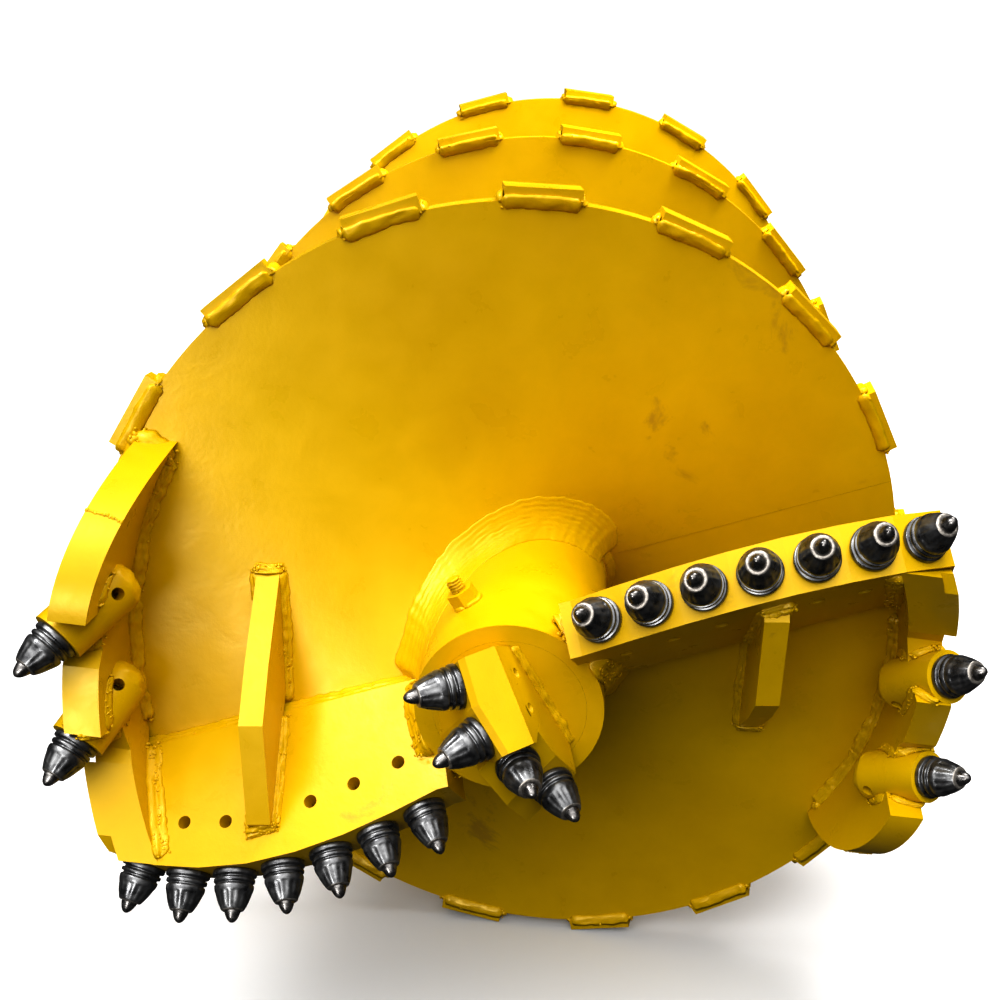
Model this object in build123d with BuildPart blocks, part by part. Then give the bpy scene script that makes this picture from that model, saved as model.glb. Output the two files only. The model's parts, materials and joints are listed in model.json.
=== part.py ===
from build123d import *
from math import atan2, cos, degrees, pi, radians, sin, sqrt
import os

os.makedirs("parts", exist_ok=True)

# The auger lies on its side with its axis on Y and its cutting end towards -Y.
# X is to the right and Z is up. Angles run from X towards Z, the way that it cuts.
# Lengths are in mm. Pieces are drawn from the core tube's front end, at Y = 0, and are
# saved with the kelly pins' crossing at the origin.

# Core tube and its front cap.
core_radius = 136.5
core_wall = 25.0
core_tail_length = 30.0
cap_thickness = 30.0
seat_gap = 0.3
overrun = 5.0

# Flights: A runs five half turns, B only the first half turn.
flight_pitch = 690.0
flight_start = 130.0
flight_radius = 642.0
lead_thickness = 30.0
tail_thickness = 18.0
blade_angle = 16.4
half_turn = 180.0
lead_in_angle = 10.0
flight_plates_a = 5
lead_plates_a = 2
half_turns = flight_plates_a / 2
core_length = flight_start + flight_pitch * half_turns + core_tail_length

# Wear blocks on the rim of the flights.
block_length = 112.0
block_width = 38.0
block_rise = 18.5

# Cutting plates with seven teeth each.
blade_thickness = 80.0
blade_lean = 39.0
blade_origin = 117.0
blade_back = 10.0
blade_inner = 133.0
blade_inner_reach = 170.0
blade_overhang = 6.0
blade_outer = flight_radius + blade_overhang
blade_root = 116.0
tooth_pitch = 76.5
tooth_fan = (-14.0, -11.3, -6.3, 0.0, 8.5, 16.2, 28.6)

# Round shank teeth: heads, shanks and their pockets.
collar_radius = 32.0
collar_height = 9.0
groove_radius = 26.5
groove_height = 3.5
ring_radius = 29.5
ring_height = 6.0
body_radius = 27.5
body_height = 22.0
nose_radius = 15.5
nose_height = 18.0
carbide_radius = 10.0
carbide_height = 5.0
tip_radius = 2.0
tip_height = 14.0
shank_radius = 19.0
shank_step = 12.0
stem_radius = 15.0
stem_length = 46.0
stem_chamfer = 3.0
retainer_radius = 12.5
retainer_height = 7.0
retainer_place = 8.0
shank_clearance = 0.08
pocket_depth = 74.0
knockout_radius = 10.0
knockout_depth = 67.0

# Gauge segments on the rim, with a sleeve for each gauge tooth.
gauge_inset = 11.2
gauge_outer = flight_radius - gauge_inset
gauge_thickness = 50.0
gauge_middle_angle = 24.0
gauge_low_forward = -235.0
gauge_edge_behind = (-5.5, 6.4, 8.0, 12.5, 14.0, 22.2, 24.0, 30.0, 31.0)
gauge_edge_forward = (48.0, -30.0, -45.0, -45.0, 27.0, -10.0, -30.0, -30.0, 42.0)
gauge_horn_behind = (31.0, 36.0, 41.5, 45.5, 48.0)
gauge_horn_forward = (42.0, 26.0, -18.0, -88.0, -212.0)
gauge_pad_behind = (-5.5, 6.4)
gauge_pad_reach = 29.0
sleeve_radius = 39.0
sleeve_length = 108.0
sleeve_pocket_depth = 100.0
sleeve_knockout_depth = 93.0
sleeve_knockout_radius = 9.0
sleeve_knockout_turn = (225.0, 252.0)
gauge_seat_behind = (11.15, 26.67)
gauge_seat_forward = (-3.0, -1.0)
gauge_outward = (35.0, 43.5)
gauge_around = (27.0, 19.0)

# Ribs that tie each cutting plate to its flight, each in a plane turned from the radius.
rib_radius = 385.0
rib_turn = 16.5
rib_thickness = 34.5
rib_top_reach = 165.0
rib_top_rise = 20.0
rib_kink_reach = 50.0
rib_kink_rise = 111.0
rib_bulge_run = 150.0
rib_bulge_rise = 106.0
rib_run = 242.0
rib_end_rise = 6.0
rib_root = 60.0
rib_root_run = 50.0
rib_sink = 10.0

# Pilot: a block in two halves on the cap, each with a chain of two flats for its teeth.
pilot_middles = ((-44.8, -100.7, 56.5), (38.8, -88.5, -51.0))
pilot_edge_ways = ((0.418, -0.514, -0.749), (-0.579, -0.422, 0.698))
pilot_tooth_ways = ((-0.841, -0.530, -0.105), (0.437, -0.883, -0.171))
pilot_fan = (-8.0, 8.0)
pilot_end = 66.0
pilot_front = 38.0
pilot_chamfer = 8.0
pilot_face_heading = 27.0
pilot_right = 52.0
pilot_left = 42.0
pilot_size = 200.0
pilot_knockout_radius = 7.5
head_clearance = 2.0

# Vent plug on the core tube.
plug_angle = 118.7
plug_place = 108.0
plug_flat_radius = 19.0
plug_sides = 6
plug_height = 22.0
stud_radius = 9.0
stud_height = 20.0

# Kelly box at the rear end.
flange_radius = 190.0
flange_thickness = 40.0
socket_width = 202.0
socket_wall = 34.0
socket_length = 340.0
socket_floor = 30.0
socket_corner = 12.0
pin_radius = 33.0
pin_place = 130.0
boss_radius = 62.0
boss_height = 16.0
kelly_gusset_thickness = 25.0
kelly_gusset_clearance = 8.0
kelly_gusset_length = socket_length - pin_place - boss_radius - kelly_gusset_clearance
kelly_gusset_rise = 42.0
kelly_gusset_top = 12.0


def radial(angle):
    return Vector(cos(radians(angle)), 0, sin(radians(angle)))


def around(angle):
    return Vector(-sin(radians(angle)), 0, cos(radians(angle)))


forward = Vector(0, -1, 0)
lean_cos = cos(radians(blade_lean))
lean_sin = sin(radians(blade_lean))
blade_angles = {"a": blade_angle + half_turn, "b": blade_angle}
full_turn = 2 * half_turn


def flight_y(behind):
    """Height of a flight's middle surface, an angle behind its cutting plate."""
    return flight_start + flight_pitch * behind / full_turn


pin_station = core_length + flange_thickness + socket_length - pin_place


def save(part, name):
    """Write a piece, moved to the frame whose origin is where the kelly pins cross."""
    placed = part.moved(Location((0, -pin_station, 0)))
    placed.label = name
    export_step(placed, "parts/" + name + ".step")


def helix_plane(angle, behind):
    """Plane across the auger's axis, its X towards the place where a helix starts."""
    return Plane(origin=(0, flight_y(behind), 0), x_dir=radial(angle - behind), z_dir=(0, 1, 0))


def section_plane(angle, behind):
    """Plane of a radial section, X outward and Y forward, for a sweep that goes back."""
    return Plane(origin=(0, flight_y(behind), 0), x_dir=radial(angle - behind),
                 z_dir=-around(angle - behind))


def blade_plane(angle):
    """Middle plane of a cutting plate: X outward, Y the way that its teeth point."""
    outward = radial(angle)
    reach = forward * lean_cos + around(angle) * lean_sin
    return Plane(origin=(0, blade_origin, 0), x_dir=outward, z_dir=outward.cross(reach))


def chain(start_x, start_y, pitch, angles):
    """Corners of a chain of flats, each turned by its angle, and the flats' centres."""
    corners = [(start_x, start_y)]
    seats = []
    for fan in angles:
        run = pitch * cos(radians(fan))
        drop = pitch * sin(radians(fan))
        x, y = corners[-1]
        seats.append((x + run / 2, y - drop / 2, fan))
        corners.append((x + run, y - drop))
    return corners, seats


def seat_plane(base, x, y, fan):
    """Plane through a tooth's axis: origin on its flat, Y along the tooth."""
    origin = base.from_local_coords((x, y, 0))
    tooth = base.x_dir * sin(radians(fan)) + base.y_dir * cos(radians(fan))
    side = base.x_dir * cos(radians(fan)) - base.y_dir * sin(radians(fan))
    return Plane(origin=origin, x_dir=side, z_dir=side.cross(tooth))


# Tooth profile, radius and height over its seat, and its pocket's.
collar_top = seat_gap + collar_height
groove_top = collar_top + groove_height
ring_top = groove_top + ring_height
body_top = ring_top + body_height
nose_top = body_top + nose_height
carbide_top = nose_top + carbide_height
tooth_top = carbide_top + tip_height
stem_end = shank_step + stem_length
retainer_end = stem_end - retainer_place
tooth_profile = (
    (0, -stem_end),
    (stem_radius - stem_chamfer, -stem_end),
    (stem_radius, -stem_end + stem_chamfer),
    (stem_radius, -retainer_end),
    (retainer_radius, -retainer_end),
    (retainer_radius, retainer_height - retainer_end),
    (stem_radius, retainer_height - retainer_end),
    (stem_radius, -shank_step),
    (shank_radius, -shank_step),
    (shank_radius, seat_gap),
    (collar_radius, seat_gap),
    (collar_radius, collar_top),
    (groove_radius, collar_top),
    (groove_radius, groove_top),
    (ring_radius, groove_top),
    (ring_radius, ring_top),
    (body_radius, ring_top),
    (body_radius, (ring_top + body_top) / 2),
    ((body_radius + nose_radius) / 2 + stem_chamfer, body_top),
    (nose_radius, nose_top),
    (carbide_radius, nose_top),
    (carbide_radius, carbide_top),
    (tip_radius, tooth_top),
    (0, tooth_top),
)
bore_radius = stem_radius + shank_clearance
mouth_radius = shank_radius + shank_clearance
mouth_depth = shank_step + seat_gap


def pocket(plane, depth):
    """The space of a tooth's pocket, to cut from what holds it."""
    with BuildPart() as space:
        with BuildSketch(plane):
            with BuildLine():
                Polyline((0, -depth), (bore_radius, -depth), (bore_radius, -mouth_depth),
                         (mouth_radius, -mouth_depth), (mouth_radius, overrun), (0, overrun), close=True)
            make_face()
        revolve(axis=Axis(plane.origin, plane.y_dir))
    return space.part


def tooth(plane, name):
    with BuildPart() as pick:
        with BuildSketch(plane):
            with BuildLine():
                Polyline(*tooth_profile, close=True)
            make_face()
        revolve(axis=Axis(plane.origin, plane.y_dir))
    save(pick.part, name)


# Cutting plates: a chain of flats, one for each tooth, with its pocket and knock-out hole.
blade_corners, blade_seats = chain(blade_inner, blade_inner_reach, tooth_pitch, tooth_fan)
knockout_reach = blade_thickness / 2 + overrun

for side, angle in blade_angles.items():
    base = blade_plane(angle)
    outline = list(blade_corners)
    outline.append((blade_outer, -blade_back))
    outline.append((blade_root, -blade_back))
    outline.append((blade_root, blade_corners[0][1]))
    with BuildPart() as cutting_plate:
        with BuildSketch(base):
            with BuildLine():
                Polyline(*outline, close=True)
            make_face()
        extrude(amount=blade_thickness / 2, both=True)
        with Locations(Plane(origin=(0, core_length / 2, 0), z_dir=(0, 1, 0)).location):
            Cylinder(core_radius + seat_gap, core_length, mode=Mode.SUBTRACT)
        for x, y, fan in blade_seats:
            place = seat_plane(base, x, y, fan)
            add(pocket(place, pocket_depth), mode=Mode.SUBTRACT)
            with BuildSketch(place):
                with Locations((0, -knockout_depth)):
                    Circle(knockout_radius)
            extrude(amount=knockout_reach, mode=Mode.SUBTRACT)
    save(cutting_plate.part, "cutting_plate_" + side)
    for number, (x, y, fan) in enumerate(blade_seats, 1):
        tooth(seat_plane(base, x, y, fan), "tooth_" + side + str(number))


def flight(angle, first, last, thickness):
    """Plate of a flight between two angles behind its cutting plate."""
    height = flight_pitch * (last - first) / full_turn
    with BuildPart() as plate:
        rail = Helix(pitch=flight_pitch, height=height, radius=core_radius + seat_gap)
        with BuildSketch(section_plane(angle, first)):
            with Locations((core_radius + seat_gap, 0)):
                Rectangle(flight_radius - core_radius - seat_gap, thickness,
                          align=(Align.MIN, Align.CENTER))
        sweep(path=rail.moved(helix_plane(angle, first).location), is_frenet=True)
    return plate.part


def behind_flight(angle, last):
    """All that lies behind the front face of a flight, to cut what seats on it."""
    first = -lead_in_angle
    height = flight_pitch * (last - first) / full_turn
    with BuildPart() as cutter:
        rail = Helix(pitch=flight_pitch, height=height, radius=core_radius)
        with BuildSketch(section_plane(angle, first)):
            with Locations((core_radius, lead_thickness / 2 + seat_gap)):
                Rectangle(flight_radius - core_radius + block_width, flight_pitch / 2,
                          align=(Align.MIN, Align.MAX))
        sweep(path=rail.moved(helix_plane(angle, first).location), is_frenet=True)
    return cutter.part


# Flights, in plates of half a turn. The first of each is cut where its cutting plate sits.
seam_angle = seat_gap / flight_radius * half_turn / pi
flight_plates = []
for number in range(flight_plates_a):
    flight_plates.append(("a", number))
flight_plates.append(("b", 0))
for side, number in flight_plates:
    angle = blade_angles[side]
    first = number * half_turn + seam_angle
    if number == 0:
        first = -lead_in_angle
    last = (number + 1) * half_turn
    thickness = lead_thickness if number < lead_plates_a else tail_thickness
    with BuildPart() as flight_plate:
        add(flight(angle, first, last, thickness))
        if number == 0:
            back = blade_plane(angle)
            cut = Plane(origin=back.from_local_coords((0, -blade_back, 0)),
                        x_dir=back.x_dir, z_dir=back.y_dir)
            split(bisect_by=cut, keep=Keep.BOTTOM)
    save(flight_plate.part, "flight_" + side + str(number + 1))

# Wear blocks: the angles of their middles behind the cutting plate, one list for each plate.
blocks_at = {
    "a1": (30.4, 50.4, 70.4, 90.4, 110.4, 130.4, 150.4, 169.6),
    "a2": (191.6, 212.8, 234.0, 255.2, 276.4, 297.6, 317.3, 337.0, 354.0),
    "a3": (376.4, 396.1, 415.8, 435.5, 455.4, 475.4, 495.4, 515.4, 532.0),
    "a4": (552.0, 574.0, 595.7, 616.4, 636.4, 657.9, 679.3, 700.6, 714.0),
    "a5": (732.5, 750.0, 771.0, 792.0, 812.6, 834.0, 855.0, 876.0),
    "b1": (32.0, 54.0, 74.0, 95.0, 116.6, 137.0, 157.0),
}
block_slope = flight_pitch / (2 * pi * flight_radius)
for name, places in blocks_at.items():
    angle = blade_angles[name[0]]
    with BuildPart() as wear_blocks:
        for behind in places:
            at = angle - behind
            run = -around(at) + Vector(0, 1, 0) * block_slope
            middle = radial(at) * flight_radius + Vector(0, flight_y(behind), 0)
            with Locations(Plane(origin=middle, x_dir=run, z_dir=radial(at)).location):
                Box(block_length, block_width, 2 * block_rise)
        with Locations(Plane(origin=(0, core_length / 2, 0), z_dir=(0, 1, 0)).location):
            Cylinder(flight_radius + seat_gap, 2 * core_length, mode=Mode.SUBTRACT)
    save(wear_blocks.part, "wear_blocks_" + name)

# Core tube and front cap.
across = Plane(origin=(0, 0, 0), x_dir=(1, 0, 0), z_dir=(0, 1, 0))
with BuildPart() as core_tube:
    with BuildSketch(across):
        Circle(core_radius)
        Circle(core_radius - core_wall, mode=Mode.SUBTRACT)
    extrude(amount=core_length)
save(core_tube.part, "core_tube")

with BuildPart() as end_cap:
    with BuildSketch(across):
        Circle(core_radius - core_wall - seat_gap)
    extrude(amount=cap_thickness)
save(end_cap.part, "end_cap")

# Vent plug: a hexagon with a stud.
plug_origin = radial(plug_angle) * core_radius + Vector(0, plug_place, 0)
plug_plane = Plane(origin=plug_origin, x_dir=(0, 1, 0), z_dir=radial(plug_angle))
plug_corner = plug_flat_radius / cos(pi / plug_sides)
plug_sag = core_radius - sqrt(core_radius ** 2 - plug_corner ** 2)
with BuildPart() as vent_plug:
    with BuildSketch(plug_plane.offset(-plug_sag)):
        RegularPolygon(plug_flat_radius, plug_sides, major_radius=False)
    extrude(amount=plug_height + plug_sag)
    with BuildSketch(plug_plane.offset(plug_height)):
        Circle(stud_radius)
    extrude(amount=stud_height)
    with Locations(Plane(origin=(0, core_length / 2, 0), z_dir=(0, 1, 0)).location):
        Cylinder(core_radius + seat_gap, core_length, mode=Mode.SUBTRACT)
save(vent_plug.part, "vent_plug")

# Gauge segments: a thick ring piece on the rim, cut to the flight, the plate and the sleeves.
gauge_inner = gauge_outer - gauge_thickness


def rim_points(behinds, forwards):
    """Points on the rim, in the plane that faces out from a gauge segment's middle."""
    points = []
    for behind, reach in zip(behinds, forwards):
        points.append((gauge_outer * sin(radians(gauge_middle_angle - behind)), reach))
    return points


for side, angle in blade_angles.items():
    base = blade_plane(angle)
    middle = angle - gauge_middle_angle
    outlook = Plane(origin=(0, 0, 0), x_dir=around(middle), z_dir=radial(middle))
    front_face = Plane(origin=base.from_local_coords((0, 0, blade_thickness / 2)),
                       x_dir=base.x_dir, z_dir=base.z_dir)
    sleeve_planes = []
    for number in range(len(gauge_seat_behind)):
        spot = (radial(angle - gauge_seat_behind[number]) * gauge_outer
                + forward * gauge_seat_forward[number])
        out_part = sin(radians(gauge_outward[number]))
        flat_part = cos(radians(gauge_outward[number]))
        swing = radians(gauge_around[number])
        way = (radial(angle) * out_part + around(angle) * (flat_part * sin(swing))
               + forward * (flat_part * cos(swing)))
        level = way.cross(radial(angle))
        sleeve_planes.append(Plane(origin=spot, x_dir=way.cross(level), z_dir=level))
    edge = rim_points(gauge_edge_behind, gauge_edge_forward)
    horn = rim_points(gauge_horn_behind, gauge_horn_forward)
    foot = ((horn[-1][0], gauge_low_forward), (edge[0][0], gauge_low_forward))
    pad = rim_points(gauge_pad_behind, (gauge_pad_reach, gauge_pad_reach))
    pad.append((pad[1][0], -gauge_pad_reach))
    pad.append((pad[0][0], -gauge_pad_reach))
    with BuildPart() as rim_waste:
        with BuildSketch(across.offset(gauge_low_forward)):
            Circle(blade_outer + overrun)
            Circle(gauge_outer, mode=Mode.SUBTRACT)
        extrude(amount=-2 * gauge_low_forward)
        with BuildSketch(outlook):
            with BuildLine():
                Polyline(*pad, close=True)
            make_face()
        extrude(amount=blade_outer + 2 * overrun, mode=Mode.SUBTRACT)
    with BuildPart() as gauge_segment:
        with BuildSketch(outlook):
            with BuildLine():
                Polyline(*edge)
                Spline(*horn)
                Polyline(horn[-1], *foot, edge[0])
            make_face()
        extrude(amount=blade_outer + overrun)
        with BuildSketch(across.offset(gauge_low_forward)):
            Circle(blade_outer)
            Circle(gauge_inner, mode=Mode.SUBTRACT)
        extrude(amount=-2 * gauge_low_forward, mode=Mode.INTERSECT)
        add(rim_waste.part, mode=Mode.SUBTRACT)
        add(behind_flight(angle, half_turn / 2), mode=Mode.SUBTRACT)
        split(bisect_by=front_face, keep=Keep.TOP)
        for place in sleeve_planes:
            with BuildSketch(Plane(origin=place.origin + place.y_dir * tooth_top, z_dir=-place.y_dir)):
                Circle(sleeve_radius + seat_gap)
            extrude(amount=tooth_top + sleeve_length + seat_gap, mode=Mode.SUBTRACT)
    save(gauge_segment.part, "gauge_segment_" + side)
    for number, place in enumerate(sleeve_planes, 1):
        turn = radians(sleeve_knockout_turn[number - 1])
        turned = place.z_dir * cos(turn) - place.x_dir * sin(turn)
        with BuildPart() as gauge_sleeve:
            with BuildSketch(Plane(origin=place.origin, z_dir=-place.y_dir)):
                Circle(sleeve_radius)
            extrude(amount=sleeve_length)
            add(pocket(place, sleeve_pocket_depth), mode=Mode.SUBTRACT)
            with BuildSketch(Plane(origin=place.origin - place.y_dir * sleeve_knockout_depth,
                                   x_dir=place.y_dir, z_dir=turned)):
                Circle(sleeve_knockout_radius)
            extrude(amount=sleeve_radius + overrun, mode=Mode.SUBTRACT)
        save(gauge_sleeve.part, "gauge_sleeve_" + side + str(number))
        tooth(place, "gauge_tooth_" + side + str(number))

# Ribs: a bent bar from the cutting plate's face down to the flight.
turn_cos = cos(radians(rib_turn))
turn_sin = sin(radians(rib_turn))


def on_face(reach, rise):
    """Point over the front face of a cutting plate, along a rib's plane and forward."""
    out = blade_thickness / 2 + rise
    ahead = (lean_sin * reach - lean_cos * out) / turn_cos
    return (ahead, lean_cos * reach + lean_sin * out - blade_origin)


def on_flight(run, rise):
    """Point over the front face of a flight, along a rib's plane and forward."""
    behind = degrees(atan2(run * turn_cos, rib_radius - run * turn_sin))
    return (-run, rise + lead_thickness / 2 - flight_y(behind))


rib_outline = (
    on_face(rib_top_reach, -rib_sink),
    on_face(rib_top_reach, rib_top_rise),
    on_face(rib_kink_reach, rib_kink_rise),
    on_flight(rib_bulge_run, rib_bulge_rise),
    on_flight(rib_run, rib_end_rise),
    on_flight(rib_run, -rib_root),
    on_flight(rib_root_run, -rib_root),
    on_face(-blade_back, -rib_sink),
)
for side, angle in blade_angles.items():
    base = blade_plane(angle)
    front_face = Plane(origin=base.from_local_coords((0, 0, blade_thickness / 2)),
                       x_dir=base.x_dir, z_dir=base.z_dir)
    ahead_way = around(angle) * turn_cos + radial(angle) * turn_sin
    side_way = radial(angle) * turn_cos - around(angle) * turn_sin
    with BuildPart() as rib:
        with BuildSketch(Plane(origin=radial(angle) * rib_radius, x_dir=ahead_way, z_dir=side_way)):
            with BuildLine():
                Polyline(*rib_outline, close=True)
            make_face()
        extrude(amount=rib_thickness / 2, both=True)
        add(behind_flight(angle, half_turn / 2), mode=Mode.SUBTRACT)
        split(bisect_by=front_face, keep=Keep.TOP)
    save(rib.part, "rib_" + side)

# Pilot: each half of the block is cut by its own chain of flats and by the shared side faces.
pilot_corners, pilot_seats = chain(-tooth_pitch * cos(radians(pilot_fan[0])),
                                   -tooth_pitch * sin(radians(pilot_fan[1])) / 2,
                                   tooth_pitch, pilot_fan)
pilot_slope = sin(radians(pilot_fan[1])) / cos(radians(pilot_fan[1]))
pilot_end_drop = (pilot_corners[1][1] - pilot_slope * pilot_end)
pilot_outline = ((-pilot_end, -pilot_size), (-pilot_end, pilot_end_drop), pilot_corners[1],
                 pilot_corners[2], (pilot_corners[2][0], -pilot_size))
pilot_bases = []
for number in range(len(pilot_middles)):
    edge_way = Vector(*pilot_edge_ways[number]).normalized()
    tooth_way = Vector(*pilot_tooth_ways[number])
    facing = tooth_way.cross(edge_way).normalized()
    pilot_bases.append(Plane(origin=pilot_middles[number], x_dir=edge_way, z_dir=-facing))
pilot_places = []
for base in pilot_bases:
    for x, y, fan in pilot_seats:
        pilot_places.append(seat_plane(base, x, y, fan))
right_way = radial(pilot_face_heading)
right_face = Plane(origin=right_way * pilot_right, x_dir=(0, 1, 0), z_dir=right_way)
left_face = Plane(origin=-right_way * pilot_left, x_dir=(0, 1, 0), z_dir=right_way)
for number, base in enumerate(pilot_bases, 1):
    turn = half_turn * (number - 1)
    seam_way = around(pilot_face_heading + turn)
    seam = Plane(origin=seam_way * (seat_gap / 2), x_dir=(0, 1, 0), z_dir=seam_way)
    with BuildPart() as pilot_plate:
        with BuildSketch(base):
            with BuildLine():
                Polyline(*pilot_outline, close=True)
            make_face()
        extrude(amount=pilot_size, both=True)
        split(bisect_by=Plane.XZ, keep=Keep.TOP)
        split(bisect_by=seam, keep=Keep.TOP)
        split(bisect_by=right_face, keep=Keep.BOTTOM)
        if number == 1:
            bright_face = Plane(origin=base.origin - base.z_dir * pilot_front,
                                x_dir=base.x_dir, z_dir=-base.z_dir)
            split(bisect_by=bright_face, keep=Keep.BOTTOM)
            front_edges = faces().sort_by(Axis(base.origin, -base.z_dir))[-1].edges()
            chamfer(front_edges.sort_by(Axis(base.origin, base.y_dir))[-2:], length=pilot_chamfer)
        else:
            split(bisect_by=left_face, keep=Keep.TOP)
        for place in pilot_places:
            add(pocket(place, pocket_depth), mode=Mode.SUBTRACT)
            with BuildSketch(Plane(origin=place.origin, z_dir=place.y_dir)):
                Circle(collar_radius + head_clearance)
            extrude(amount=tooth_top, mode=Mode.SUBTRACT)
        if number == 1:
            for place in pilot_places[:2]:
                with BuildSketch(Plane(origin=place.origin, z_dir=-place.y_dir)):
                    Circle(pilot_knockout_radius)
                extrude(amount=2 * pocket_depth, mode=Mode.SUBTRACT)
    save(pilot_plate.part, "pilot_plate_" + str(number))
for number, place in enumerate(pilot_places, 1):
    tooth(place, "pilot_tooth_" + str(number))

# Kelly end: flange, square box with its pin bores, and gussets.
box_width = socket_width + 2 * socket_wall
box_start = core_length + flange_thickness
with BuildPart() as kelly_flange:
    with BuildSketch(across.offset(core_length)):
        Circle(flange_radius)
    extrude(amount=flange_thickness)
save(kelly_flange.part, "kelly_flange")

with BuildPart() as kelly_box:
    with BuildSketch(across.offset(box_start)):
        RectangleRounded(box_width, box_width, socket_corner)
    extrude(amount=socket_length)
    for turn in range(4):
        with BuildSketch(Plane(origin=(0, box_start + socket_length - pin_place, 0), x_dir=(0, 1, 0),
                               z_dir=radial(turn * half_turn / 2)).offset(box_width / 2)):
            Circle(boss_radius)
        extrude(amount=boss_height)
    with BuildSketch(across.offset(box_start + socket_floor)):
        Rectangle(socket_width, socket_width)
    extrude(amount=socket_length, mode=Mode.SUBTRACT)
    for turn in range(2):
        with BuildSketch(Plane(origin=(0, box_start + socket_length - pin_place, 0), x_dir=(0, 1, 0),
                               z_dir=radial(turn * half_turn / 2))):
            Circle(pin_radius)
        extrude(amount=box_width, both=True, mode=Mode.SUBTRACT)
save(kelly_box.part, "kelly_box")

with BuildPart() as kelly_gussets:
    for turn in range(4):
        turned = radial(turn * half_turn / 2)
        flank = Plane(origin=turned * (box_width / 2), x_dir=turned, z_dir=turned.cross(Vector(0, 1, 0)))
        with BuildSketch(flank):
            with BuildLine():
                Polyline((0, box_start), (kelly_gusset_rise, box_start),
                         (kelly_gusset_rise, box_start + kelly_gusset_top),
                         (kelly_gusset_top, box_start + kelly_gusset_length),
                         (0, box_start + kelly_gusset_length), close=True)
            make_face()
        extrude(amount=kelly_gusset_thickness / 2, both=True)
save(kelly_gussets.part, "kelly_gussets")
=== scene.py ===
import json
import math
import random

import bmesh
import bpy
from mathutils import Matrix, Vector, noise
from mathutils.bvhtree import BVHTree


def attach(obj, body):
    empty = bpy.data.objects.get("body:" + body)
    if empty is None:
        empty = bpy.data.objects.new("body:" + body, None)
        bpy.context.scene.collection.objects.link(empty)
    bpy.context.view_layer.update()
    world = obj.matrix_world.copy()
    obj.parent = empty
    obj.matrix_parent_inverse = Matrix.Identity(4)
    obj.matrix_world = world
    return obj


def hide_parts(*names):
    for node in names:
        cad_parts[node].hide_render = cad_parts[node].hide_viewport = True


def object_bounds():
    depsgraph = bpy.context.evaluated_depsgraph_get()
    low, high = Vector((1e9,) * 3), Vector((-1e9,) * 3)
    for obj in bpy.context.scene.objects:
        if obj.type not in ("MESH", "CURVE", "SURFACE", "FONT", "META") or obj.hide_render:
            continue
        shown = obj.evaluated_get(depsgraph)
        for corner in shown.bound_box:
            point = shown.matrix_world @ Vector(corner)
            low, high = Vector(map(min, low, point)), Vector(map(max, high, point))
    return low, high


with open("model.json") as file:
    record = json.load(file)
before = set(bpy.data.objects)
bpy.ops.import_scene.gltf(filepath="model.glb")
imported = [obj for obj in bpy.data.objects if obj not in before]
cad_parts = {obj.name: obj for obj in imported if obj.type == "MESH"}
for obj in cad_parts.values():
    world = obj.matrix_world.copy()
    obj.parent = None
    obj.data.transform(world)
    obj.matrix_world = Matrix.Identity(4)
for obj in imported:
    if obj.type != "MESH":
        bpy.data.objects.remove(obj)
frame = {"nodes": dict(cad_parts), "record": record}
cad_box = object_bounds()
rng = random.Random(7)

# Sizes in metres and angles in degrees, as in the part's source. The auger's axis is Y, and its
# cutting end looks towards -Y.
MM = 0.001
FRONT = -2.135                      # the core tube's front end on Y
CORE_R = 0.1365
PITCH = 0.690                       # of both flights
HELIX_P = PITCH / (2 * math.pi)
START = 0.130                       # where the flights start, behind the front end
FLIGHT_R = 0.642
LEAD_T, TAIL_T = 0.030, 0.018       # flight plates of the first turn and behind it
BLADE = {"a": 196.4, "b": 16.4}     # angle of each cutting plate round the axis
LEAN = math.radians(39.0)
LEAN_C, LEAN_S = math.cos(LEAN), math.sin(LEAN)
BLADE_Y, BLADE_T, BLADE_BACK = 0.117, 0.080, 0.010
FORWARD = Vector((0, -1, 0))


def radial(angle):
    """Direction away from the auger's axis at an angle."""
    a = math.radians(angle)
    return Vector((math.cos(a), 0, math.sin(a)))


def around(angle):
    """Direction of growing angles round the axis."""
    a = math.radians(angle)
    return Vector((-math.sin(a), 0, math.cos(a)))


def angle_of(p):
    """Angle of a point round the axis."""
    return math.degrees(math.atan2(p.z, p.x))


def at(radius, angle, y):
    """Point at a radius, an angle and a distance behind the core tube's front end."""
    p = radial(angle) * radius
    p.y = FRONT + y
    return p


def flight_y(behind):
    """A flight's middle behind the front end, at an angle behind its cutting plate."""
    return START + PITCH * behind / 360


def lerp(a, b, t):
    return a + (b - a) * t


def along(first, last, per):
    """Even values from first to last, about per apart."""
    n = max(2, round(abs(last - first) / per))
    return [lerp(first, last, k / n) for k in range(n + 1)]


# ---------------------------------------------------------------- materials


def new_material(name):
    """A material, its nodes and links, and its shader."""
    m = bpy.data.materials.new(name)
    m.use_nodes = True
    return m, m.node_tree.nodes, m.node_tree.links, m.node_tree.nodes["Principled BSDF"]


def ramp(nodes, stops):
    """Colour ramp from a list of (place, colour)."""
    r = nodes.new("ShaderNodeValToRGB")
    els = r.color_ramp.elements
    els[0].position, els[0].color = stops[0][0], (*stops[0][1], 1)
    els[1].position, els[1].color = stops[-1][0], (*stops[-1][1], 1)
    for pos, col in stops[1:-1]:
        e = els.new(pos)
        e.color = (*col, 1)
    return r


def noise_node(nodes, links, coord, scale, detail=4.0, rough=0.5, dist=0.0):
    """The values of a noise over the object's own coordinates."""
    n = nodes.new("ShaderNodeTexNoise")
    n.inputs["Scale"].default_value = scale
    n.inputs["Detail"].default_value = detail
    n.inputs["Roughness"].default_value = rough
    n.inputs["Distortion"].default_value = dist
    links.new(coord, n.inputs["Vector"])
    return n.outputs["Fac"]


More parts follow.
